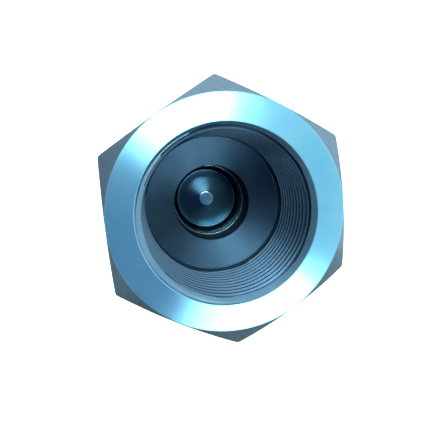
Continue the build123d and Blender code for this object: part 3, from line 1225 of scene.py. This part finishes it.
    def make_outlet(self) -> bpy.types.Object:
        """Make the outlet body: port, outlet bore, chamber, spigot and the flow arrow in one flat.

        Returns:
            The outlet body.
        """
        joint = self.joint
        floor = self.outlet.low + self.thread.floor_depth(OUTLET_BORE_RADIUS)
        spigot_face = self.outlet.high
        groove_top = spigot_face - joint.groove_setback
        groove_end = groove_top - joint.groove_width
        thread_start = spigot_face - joint.nose_length - joint.thread_gap
        thread_chamfer = joint.male_radius - joint.nose_radius
        joint_height = self.inlet.low
        undercut_top = joint_height + joint.undercut_length
        circlip_top = self.shim.low + self.circlip_room
        outline = self.thread.floor_outline(self.outlet.low, 1) + [
            Corner(OUTLET_BORE_RADIUS, floor, self.outlet_bore_edge),
            Corner(OUTLET_BORE_RADIUS, self.guide.low, self.shoulder_edge),
            Corner(self.chamber_radius, self.guide.low, BROKEN_EDGE),
            Corner(self.chamber_radius, self.shim.low, FINE_EDGE),
            Corner(self.circlip_groove_radius, self.shim.low, FINE_EDGE),
            Corner(self.circlip_groove_radius, circlip_top, FINE_EDGE),
            Corner(self.chamber_radius, circlip_top, FINE_EDGE),
            Corner(self.chamber_radius, spigot_face, self.shoulder_edge),
            Corner(joint.nose_radius - joint.nose_softness, spigot_face, BROKEN_EDGE),
            Corner(joint.nose_radius, spigot_face - joint.nose_softness, BROKEN_EDGE),
            Corner(joint.nose_radius, groove_top, BROKEN_EDGE),
            Corner(joint.groove_radius, groove_top, BROKEN_EDGE),
            Corner(joint.groove_radius, groove_end, BROKEN_EDGE),
            Corner(joint.nose_radius, groove_end, BROKEN_EDGE),
            Corner(joint.nose_radius, thread_start, BROKEN_EDGE),
            Corner(joint.male_radius, thread_start - thread_chamfer, BROKEN_EDGE),
            Corner(joint.male_radius, undercut_top, BROKEN_EDGE),
            Corner(joint.undercut_radius, undercut_top, BROKEN_EDGE),
            Corner(joint.undercut_radius, joint_height),
        ]
        body = self.shell("outlet_hexagon_body", outline, (self.outlet.low, joint_height), face_up=False)
        cutter = self.arrow.cutter(self.outlet.half_width, joint_height, self.finishes.bar.material())
        combine(body, cutter, Combination.CUT_OUT)
        return body

    def build(self) -> None:
        """Make both bodies and let them stand for their solids."""
        place_piece(self.make_inlet(), FIXED, INLET_BODY, self.finishes.zinc)
        place_piece(self.make_outlet(), FIXED, OUTLET_BODY, self.finishes.zinc)


@dataclass
class Seals:
    """Seat ring and the seals of the seat and the joint."""

    finishes: Finishes
    joint: Joint = field(default_factory=Joint)
    bore_radius: float = SEAT_BORE_RADIUS
    front_chamfer: float = 0.25
    land: float = 0.4
    rim_edge: float = 0.15
    groove_radius: float = 17.45
    groove_width: float = 2.7
    squeeze_gap: float = 0.02
    section_points: int = 24

    def make_seat(self) -> bpy.types.Object:
        """Make the seat ring: front edge under its finish's painted highlight, seal groove, 45 degree seating
        land.

        Returns:
            The seat ring.
        """
        seat = span_of("seat_ring")
        middle, half = (seat.low + seat.high) / 2, self.groove_width / 2
        outline = [
            Corner(self.bore_radius, seat.low + self.land, FINE_EDGE),
            Corner(self.bore_radius + self.land, seat.low, FINE_EDGE),
            Corner(seat.half_width, seat.low, self.rim_edge),
            Corner(seat.half_width, middle - half, FINE_EDGE),
            Corner(self.groove_radius, middle - half, BROKEN_EDGE),
            Corner(self.groove_radius, middle + half, BROKEN_EDGE),
            Corner(seat.half_width, middle + half, FINE_EDGE),
            Corner(seat.half_width, seat.high, self.rim_edge),
            Corner(self.bore_radius + self.front_chamfer, seat.high, FINE_EDGE),
            Corner(self.bore_radius, seat.high - self.front_chamfer, FINE_EDGE),
        ]
        return lathe("hardened_seat_ring", outline, self.finishes.seat)

    def make_o_ring(self, name: str, node: str, groove_radius: float) -> bpy.types.Object:
        """Make an O-ring squeezed to an oval section.

        Args:
            name: the piece's name.
            node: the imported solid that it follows.
            groove_radius: radius of the bottom of its groove.

        Returns:
            The O-ring.
        """
        room = span_of(node)
        inner, outer = groove_radius + self.squeeze_gap, room.half_width
        middle, half_height = (room.low + room.high) / 2, (room.high - room.low) / 2
        centre, half_width = (inner + outer) / 2, (outer - inner) / 2
        section = circle_points(1.0, self.section_points)
        outline = [Corner(centre + half_width * x, middle + half_height * y) for x, y in section]
        return lathe(name, outline, self.finishes.nitrile)

    def build(self) -> None:
        """Make the seat ring and its seals and let them stand for their solids."""
        finishes, joint_groove = self.finishes, self.joint.groove_radius
        place_piece(self.make_seat(), FIXED, "seat_ring", finishes.seat)
        seat_seal = self.make_o_ring("seat_seal", "seat_o_ring", self.groove_radius)
        place_piece(seat_seal, FIXED, "seat_o_ring", finishes.nitrile)
        joint_seal = self.make_o_ring("joint_seal", "joint_o_ring", joint_groove)
        place_piece(joint_seal, FIXED, "joint_o_ring", finishes.nitrile)
        inner = joint_groove + self.squeeze_gap
        node = "joint_backup_ring"
        backup = lathe_washer("joint_backup_washer", node, inner, FINE_EDGE, FINE_EDGE, finishes.ptfe)
        place_piece(backup, FIXED, node, finishes.ptfe)


@dataclass
class Poppet:
    """The moving pieces: the cone head with its flat nose, and the stem riveted through it."""

    finishes: Finishes
    nose_radius: float = NOSE_RADIUS
    nose_edge: float = 0.12
    cone_edge: float = 0.2
    back_edge: float = 0.5
    hole_edge: float = 0.03
    rivet_radius: float = RIVET_RADIUS
    rivet_clearance: float = 0.01
    rivet_edge: float = 0.18
    cap_radius: float = 0.3
    stem_radius: float = 5.0
    collar_length: float = 3.5
    collar_edge: float = 0.15
    collar_end_edge: float = 0.3
    tail_edge: float = 0.8

    def make_head(self) -> bpy.types.Object:
        """Make the head: flat turned nose, 45 degree cone and rim.

        Returns:
            The head.
        """
        head = span_of("poppet_head")
        shoulder = head.high - (head.half_width - self.nose_radius)
        hole = self.rivet_radius + self.rivet_clearance
        outline = [
            Corner(hole, head.high, self.hole_edge),
            Corner(self.nose_radius, head.high, self.nose_edge),
            Corner(head.half_width, shoulder, self.cone_edge),
            Corner(head.half_width, head.low, self.back_edge),
            Corner(hole, head.low, FINE_EDGE),
        ]
        return lathe("poppet_cone_head", outline, self.finishes.poppet)

    def make_stem(self) -> bpy.types.Object:
        """Make the stem: rivet end that shows in the nose, collar and ground stem.

        Returns:
            The stem.
        """
        stem, head = span_of("poppet_stem"), span_of("poppet_head")
        collar_end = head.low - self.collar_length
        outline = [
            Corner(0.0, stem.high),
            Corner(self.cap_radius, stem.high),
            Corner(self.rivet_radius, stem.high, self.rivet_edge),
            Corner(self.rivet_radius, head.low, FINE_EDGE),
            Corner(stem.half_width, head.low, self.collar_edge),
            Corner(stem.half_width, collar_end, self.collar_end_edge),
            Corner(self.stem_radius, collar_end, self.collar_edge),
            Corner(self.stem_radius, stem.low, self.tail_edge),
            Corner(self.cap_radius, stem.low),
            Corner(0.0, stem.low),
        ]
        return lathe("poppet_guide_stem", outline, self.finishes.stem)

    def build(self) -> None:
        """Make the head and the stem and let them ride on the moving body."""
        place_piece(self.make_head(), MOVING, "poppet_head", self.finishes.poppet)
        place_piece(self.make_stem(), MOVING, "poppet_stem", self.finishes.stem)


@dataclass
class ClosingSpring:
    """Compression spring with a closed, ground coil at each end."""

    finishes: Finishes
    joint: dict[str, Any]
    wire_radius: float = 1.0
    mean_radius: float = 9.9
    active_coils: float = 5.5
    closed_coils: float = 1.0
    closed_gap: float = 0.03
    points_per_coil: int = 48
    wire_sides: int = 14

    def tree(self) -> bpy.types.NodeTree:
        """Build the tree that winds a wire and grinds its ends flat.

        Returns:
            The tree.
        """
        sizes = (
            "Coils", "Closed Coils", "Active Coils", "Closed Rise", "Active Rise", "Mean Radius", "Wire Radius",
            "Low", "High",
        )
        tree, value = new_tree("wound_spring", ("Points", "Wire Sides"), sizes)
        closed_coils, active_coils = value["Closed Coils"], value["Active Coils"]
        line = add_node(tree, "GeometryNodeMeshLine", {"Count": value["Points"], "Offset": (1.0, 0.0, 0.0)})
        index = add_node(tree, "GeometryNodeInputIndex")
        last = add_node(tree, MATH, {0: value["Points"], 1: 1.0}, operation="SUBTRACT")
        share = add_node(tree, MATH, {0: index, 1: last}, operation="DIVIDE")
        turns = add_node(tree, MATH, {0: share, 1: value["Coils"]}, operation="MULTIPLY")
        low_part = add_node(tree, MATH, {0: turns, 1: closed_coils}, operation="MINIMUM")
        above_low = add_node(tree, MATH, {0: turns, 1: closed_coils}, operation="SUBTRACT")
        started = add_node(tree, MATH, {0: above_low, 1: 0.0}, operation="MAXIMUM")
        active = add_node(tree, MATH, {0: started, 1: active_coils}, operation="MINIMUM")
        above_active = add_node(tree, MATH, {0: above_low, 1: active_coils}, operation="SUBTRACT")
        high_part = add_node(tree, MATH, {0: above_active, 1: 0.0}, operation="MAXIMUM")
        closed = add_node(tree, MATH, {0: low_part, 1: high_part}, operation="ADD")
        flat_rise = {0: closed, 1: value["Closed Rise"], 2: value["Low"]}
        closed_height = add_node(tree, MATH, flat_rise, operation="MULTIPLY_ADD")
        open_rise = {0: active, 1: value["Active Rise"], 2: closed_height}
        height = add_node(tree, MATH, open_rise, operation="MULTIPLY_ADD")
        wound = wind(tree, line, turns, value["Mean Radius"], height)
        path = add_node(tree, "GeometryNodeMeshToCurve", {"Mesh": wound})
        circle = {"Resolution": value["Wire Sides"], "Radius": value["Wire Radius"]}
        section = add_node(tree, "GeometryNodeCurvePrimitiveCircle", circle)
        sweep = {"Curve": path, "Profile Curve": section, "Fill Caps": True}
        wire = add_node(tree, "GeometryNodeCurveToMesh", sweep)
        place = add_node(tree, "GeometryNodeInputPosition")
        parts = add_node(tree, "ShaderNodeSeparateXYZ", {0: place}).outputs
        above = add_node(tree, MATH, {0: parts["Z"], 1: value["Low"]}, operation="MAXIMUM")
        level = add_node(tree, MATH, {0: above, 1: value["High"]}, operation="MINIMUM")
        flattened = add_node(tree, "ShaderNodeCombineXYZ", {"X": parts["X"], "Y": parts["Y"], "Z": level})
        ground_wire = add_node(tree, "GeometryNodeSetPosition", {"Geometry": wire, "Position": flattened})
        end_tree(tree, ground_wire, value["Material"])
        return tree

    def build(self) -> None:
        """Wind the spring and let it stand on the fixed body."""
        wire, room = self.finishes.wire, span_of("spring")
        closed_rise = 2 * self.wire_radius + self.closed_gap
        coils = self.active_coils + 2 * self.closed_coils
        active_rise = (room.high - room.low - 2 * closed_rise * self.closed_coils) / self.active_coils
        sizes = {
            "Closed Rise": closed_rise,
            "Active Rise": active_rise,
            "Mean Radius": self.mean_radius,
            "Wire Radius": self.wire_radius,
            "Low": room.low,
            "High": room.high,
        }
        values = {label: size * METRES for label, size in sizes.items()}
        values |= {"Points": int(coils * self.points_per_coil) + 1, "Wire Sides": self.wire_sides}
        values |= {"Coils": coils, "Closed Coils": self.closed_coils, "Active Coils": self.active_coils}
        values["Material"] = wire.material()
        data = bake_tree("closing_spring", self.tree(), values)
        shade_edges(data)
        spring = link_object("closing_spring", data)
        place_piece(spring, FIXED, "spring", wire)
        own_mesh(spring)


def grow_outline(core: list[Vector], distance: float) -> Outline:
    """Grow a closed outline outwards by a distance, with round corners.

    Args:
        core: the outline's points, counter-clockwise.
        distance: how far it grows.

    Returns:
        The grown outline, as (x, y) pairs.
    """
    sharp = math.radians(20)
    corner_steps = 6
    grown = []
    count = len(core)
    for index, here in enumerate(core):
        before, after = core[index - 1], core[(index + 1) % count]
        first, second = here - before, after - here
        heading, next_heading = math.atan2(first.y, first.x), math.atan2(second.y, second.x)
        start = heading - math.pi / 2
        turn = (next_heading - heading + math.pi) % (2 * math.pi) - math.pi
        steps = corner_steps if turn > sharp else 0
        for step in range(steps + 1):
            angle = start + (turn * step / steps if steps else turn / 2)
            grown.append((here.x + distance * math.cos(angle), here.y + distance * math.sin(angle)))
    return grown


@dataclass
class GuideAssembly:
    """Three-armed stem guide with its bush, the shim on its arms and the circlip that holds it."""

    finishes: Finishes
    window_radius: float = OUTLET_BORE_RADIUS
    hub_radius: float = 8.4
    hub_edge: float = 0.3
    hub_top_edge: float = 0.5
    bore_radius: float = 6.51
    bore_edge: float = 0.15
    tail_radius: float = 5.6
    arm_count: int = 3
    arm_width: float = 5.0
    arc_steps: int = 20
    window_softness: float = 1.2
    plate_softness: float = 0.25
    plate_overlap: float = 1.0
    plate_hole_steps: int = 64
    bevel_steps: int = 2
    bush_bore_radius: float = 5.05
    bush_bore_edge: float = 0.3
    bush_rim_edge: float = 0.2
    shim_bore_radius: float = 8.65
    shim_edge: float = 0.08

    def window(self, index: int) -> Outline:
        """Outline one flow window between two arms, with rounded corners.

        Args:
            index: the window's number.

        Returns:
            The outline, as (x, y) pairs.
        """
        half_arm = self.arm_width / 2 + self.window_softness
        spread = 2 * math.pi / self.arm_count
        start = spread * index
        inner = self.hub_radius + self.window_softness
        outer = self.window_radius - self.window_softness
        low_inner, low_outer = math.asin(half_arm / inner), math.asin(half_arm / outer)
        shares = [step / self.arc_steps for step in range(self.arc_steps + 1)]
        sweep = spread - 2 * low_outer
        there = [(outer, start + low_outer + sweep * share) for share in shares]
        back = [(inner, start + spread - low_inner - (spread - 2 * low_inner) * share) for share in shares]
        core = [Vector((reach * math.cos(angle), reach * math.sin(angle))) for reach, angle in there + back]
        return grow_outline(core, self.window_softness)

    def make_plate(self, rim: Span, top: float) -> bpy.types.Object:
        """Make the guide's rim and arms as one plate with three windows, from a filled curve with soft edges.

        Args:
            rim: the guide's span, for its radius and lower face.
            top: height of the plate's upper face.

        Returns:
            The plate.
        """
        soft = self.plate_softness
        curve = bpy.data.curves.new("guide_plate_outline", "CURVE")
        curve.dimensions = "2D"
        curve.fill_mode = "BOTH"
        curve.extrude = ((top - rim.low) / 2 - soft) * METRES
        curve.bevel_depth = soft * METRES
        curve.bevel_resolution = self.bevel_steps
        loops = [circle_points(rim.half_width - soft, PIECE_COLUMNS)]
        loops += [self.window(index) for index in range(self.arm_count)]
        loops.append(circle_points(self.bore_radius + self.plate_overlap, self.plate_hole_steps))
        for points in loops:
            spline = curve.splines.new("POLY")
            spline.points.add(len(points) - 1)
            for point, (x, y) in zip(spline.points, points):
                point.co = (x * METRES, y * METRES, 0.0, 1.0)
            spline.use_cyclic_u = True
        holder = link_object("guide_plate_outline", curve)
        data = evaluated_mesh(holder)
        bpy.data.objects.remove(holder)
        bpy.data.curves.remove(curve)
        data.transform(Matrix.Translation((0.0, 0.0, (rim.low + top) / 2 * METRES)))
        mesh = bmesh.new()
        mesh.from_mesh(data)
        bpy.data.meshes.remove(data)
        return finish_mesh("guide_plate", mesh, [self.finishes.guide.material()])

    def make_guide(self) -> bpy.types.Object:
        """Make the guide: the plate joined to its long hub.

        Returns:
            The guide.
        """
        rim, bush, shim = span_of("stem_guide"), span_of("guide_bush"), span_of("spring_shim")
        plate = self.make_plate(rim, shim.low)
        outline = [
            Corner(self.tail_radius, rim.low, self.hub_edge),
            Corner(self.hub_radius, rim.low, self.hub_edge),
            Corner(self.hub_radius, rim.high, self.hub_top_edge),
            Corner(self.bore_radius, rim.high, self.bore_edge),
            Corner(self.bore_radius, bush.low, BROKEN_EDGE),
            Corner(self.tail_radius, bush.low, BROKEN_EDGE),
        ]
        hub = lathe("stem_guide_spider", outline, self.finishes.guide)
        combine(hub, plate, Combination.JOIN_ON)
        return hub

    def build(self) -> None:
        """Make the guide's pieces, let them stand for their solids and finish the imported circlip."""
        finishes = self.finishes
        place_piece(self.make_guide(), FIXED, "stem_guide", finishes.guide)
        radius, bore_edge, rim_edge = self.bush_bore_radius, self.bush_bore_edge, self.bush_rim_edge
        bush = lathe_washer("stem_bush", "guide_bush", radius, bore_edge, rim_edge, finishes.bronze)
        place_piece(bush, FIXED, "guide_bush", finishes.bronze)
        edge = self.shim_edge
        shim = lathe_washer("preload_shim", "spring_shim", self.shim_bore_radius, edge, edge, finishes.stem)
        place_piece(shim, FIXED, "spring_shim", finishes.stem)
        circlip = bpy.data.objects["guide_circlip"]
        circlip.data.materials.clear()
        circlip.data.materials.append(finishes.wire.material())
        LOG.info("guide_circlip keeps its solid's shape")


@dataclass(frozen=True)
class SoftBox:
    """A rectangular soft box, placed from the centre of the inlet face in millimetres."""

    name: str
    offset: tuple[float, float, float]
    width: float
    height: float
    watts: float


@dataclass(frozen=True)
class Card:
    """A plain card that only the metal sees, placed from the centre of the inlet face in millimetres."""

    name: str
    centre: tuple[float, float, float]
    first_edge: tuple[float, float, float]
    second_edge: tuple[float, float, float]
    shade: str


@dataclass(frozen=True)
class Studio:
    """Floor, world, lamps, cards and the camera at the photograph's viewing angle."""

    face_height: float
    focal_length: float = 33.15
    sensor_width: float = 36.0
    nearest: float = 1.0
    farthest: float = 20000.0
    camera_offset: tuple[float, float, float] = (-13.357, 12.714, 87.849)
    view_direction: tuple[float, float, float] = (0.115187, -0.136806, -0.983878)
    view_up: tuple[float, float, float] = (0.107674, 0.986354, -0.124544)
    floor_size: float = 40000.0
    floor_gap: float = 0.05
    floor_paint: str = "#E6E6E6"
    floor_glow: float = 0.45
    white: str = "#FFFFFF"

    def make_camera(self) -> None:
        """Place the camera where the photograph was taken from."""
        forward = Vector(self.view_direction).normalized()
        right = forward.cross(Vector(self.view_up)).normalized()
        up = right.cross(forward)
        data = bpy.data.cameras.new("camera")
        data.sensor_width = self.sensor_width
        data.lens = self.focal_length
        data.clip_start = self.nearest * METRES
        data.clip_end = self.farthest * METRES
        camera = link_object("camera", data)
        turn = Matrix((right, up, -forward)).transposed().to_4x4()
        spot = (Vector(self.camera_offset) + Vector((0.0, 0.0, self.face_height))) * METRES
        camera.matrix_world = Matrix.Translation(spot) @ turn
        bpy.context.scene.camera = camera

    def make_world(self) -> None:
        """Surround the valve with an even white room."""
        world = bpy.data.worlds.new("studio_room")
        bpy.context.scene.world = world
        world.use_nodes = True
        tree = world.node_tree
        tree.nodes.clear()
        room = add_node(tree, "ShaderNodeBackground", {"Color": linear(self.white), "Strength": 1.0})
        add_node(tree, "ShaderNodeOutputWorld", {"Surface": room})

    def lay_sheet(
        self, name: str, centre: Vector, edges: tuple[Vector, Vector], material: bpy.types.Material
    ) -> bpy.types.Object:
        """Make a flat rectangle of the stage.

        Args:
            name: the sheet's name.
            centre: its centre in millimetres.
            edges: its two edges in millimetres.
            material: its material.

        Returns:
            The linked rectangle.
        """
        first, second = edges[0] / 2, edges[1] / 2
        mesh = bmesh.new()
        signs = ((-1, -1), (1, -1), (1, 1), (-1, 1))
        mesh.faces.new([mesh.verts.new((centre + a * first + b * second) * METRES) for a, b in signs])
        data = bpy.data.meshes.new(name)
        mesh.to_mesh(data)
        mesh.free()
        data.materials.append(material)
        sheet = link_object(name, data)
        return sheet

    def add_card(self, card: Card) -> None:
        """Stand a plain card where the metal mirrors it, out of the camera's sight.

        Args:
            card: the card's place, size and shade.
        """
        glow = {"Color": linear(card.shade), "Strength": 1.0}
        material = make_material(card.name, lambda tree: add_node(tree, "ShaderNodeEmission", glow))
        centre = Vector(card.centre) + Vector((0.0, 0.0, self.face_height))
        edges = (Vector(card.first_edge), Vector(card.second_edge))
        stand = self.lay_sheet(card.name, centre, edges, material)
        stand.visible_camera = False
        stand.visible_shadow = False
        stand.visible_diffuse = False

    def shade_floor(self, tree: bpy.types.NodeTree) -> bpy.types.Node:
        """Build a pale paint that reads white to the camera and to the metal, and still keeps the shadow.

        Args:
            tree: the material's tree.

        Returns:
            The shader.
        """
        paint = add_node(tree, "ShaderNodeBsdfDiffuse", {"Color": linear(self.floor_paint)})
        path = add_node(tree, "ShaderNodeLightPath").outputs
        seen = {0: path["Is Camera Ray"], 1: path["Is Glossy Ray"]}
        straight = add_node(tree, MATH, seen, operation="MAXIMUM")
        clear = add_node(tree, MATH, {0: straight, 1: path["Is Transmission Ray"]}, operation="MAXIMUM")
        strength = add_node(tree, MATH, {0: clear, 1: self.floor_glow}, operation="MULTIPLY")
        glow = add_node(tree, "ShaderNodeEmission", {"Color": linear(self.white), "Strength": strength})
        return add_node(tree, "ShaderNodeAddShader", {0: paint, 1: glow})

    def add_lamp(self, lamp: SoftBox) -> None:
        """Add a soft box that faces the inlet face.

        Args:
            lamp: the soft box's place, size and power.
        """
        data = bpy.data.lights.new(lamp.name, "AREA")
        data.shape = "RECTANGLE"
        data.size = lamp.width * METRES
        data.size_y = lamp.height * METRES
        data.energy = lamp.watts
        away = Vector(lamp.offset) * METRES
        target = Vector((0.0, 0.0, self.face_height * METRES))
        turn = away.to_track_quat("Z", "Y").to_matrix().to_4x4()
        link_object(lamp.name, data).matrix_world = Matrix.Translation(target + away) @ turn

    def build(self) -> None:
        """Set up the whole studio."""
        self.make_camera()
        self.make_world()
        floor_edges = (Vector((self.floor_size, 0.0, 0.0)), Vector((0.0, self.floor_size, 0.0)))
        floor_material = make_material("pale_floor", self.shade_floor)
        self.lay_sheet("studio_floor", Vector((0.0, 0.0, -self.floor_gap)), floor_edges, floor_material)
        self.add_lamp(SoftBox("rear_soft_box", (-25.0, 210.0, 540.0), width=290.0, height=160.0, watts=2.9))
        self.add_lamp(SoftBox("front_soft_box", (125.0, -330.0, 510.0), width=330.0, height=180.0, watts=2.4))
        cards = (
            Card("ceiling_card", (-240.0, -390.0, 1200.0), (840.0, 0.0, 0.0), (0.0, 1380.0, 0.0), "#16387A"),
            Card("left_card", (-1300.0, 650.0, 350.0), (0.0, 3900.0, 0.0), (0.0, 0.0, 1300.0), "#9A9EA2"),
            Card("front_card", (650.0, -1300.0, 350.0), (3900.0, 0.0, 0.0), (0.0, 0.0, 1300.0), "#6C7074"),
            Card("front_left_card", (-700.0, -1500.0, 1200.0), (1280.0, 0.0, 0.0), (0.0, 820.0, 0.0), "#182838"),
            Card("left_ceiling_card", (-1090.0, -240.0, 1200.0), (500.0, 0.0, 0.0), (0.0, 1680.0, 0.0), "#182838"),
        )
        for card in cards:
            self.add_card(card)
        bpy.context.scene.view_settings.view_transform = "Standard"


def main() -> None:
    """Dress the valve around its frame and set the studio up."""
    logging.basicConfig(level=logging.INFO, format="%(name)s: %(message)s")
    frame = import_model()
    finishes = Finishes()
    Bodies(finishes).build()
    Seals(finishes).build()
    Poppet(finishes).build()
    ClosingSpring(finishes, frame["joints"][0]).build()
    GuideAssembly(finishes).build()
    Studio(face_height=span_of(INLET_BODY).high).build()


if __name__ == "__main__":
    main()
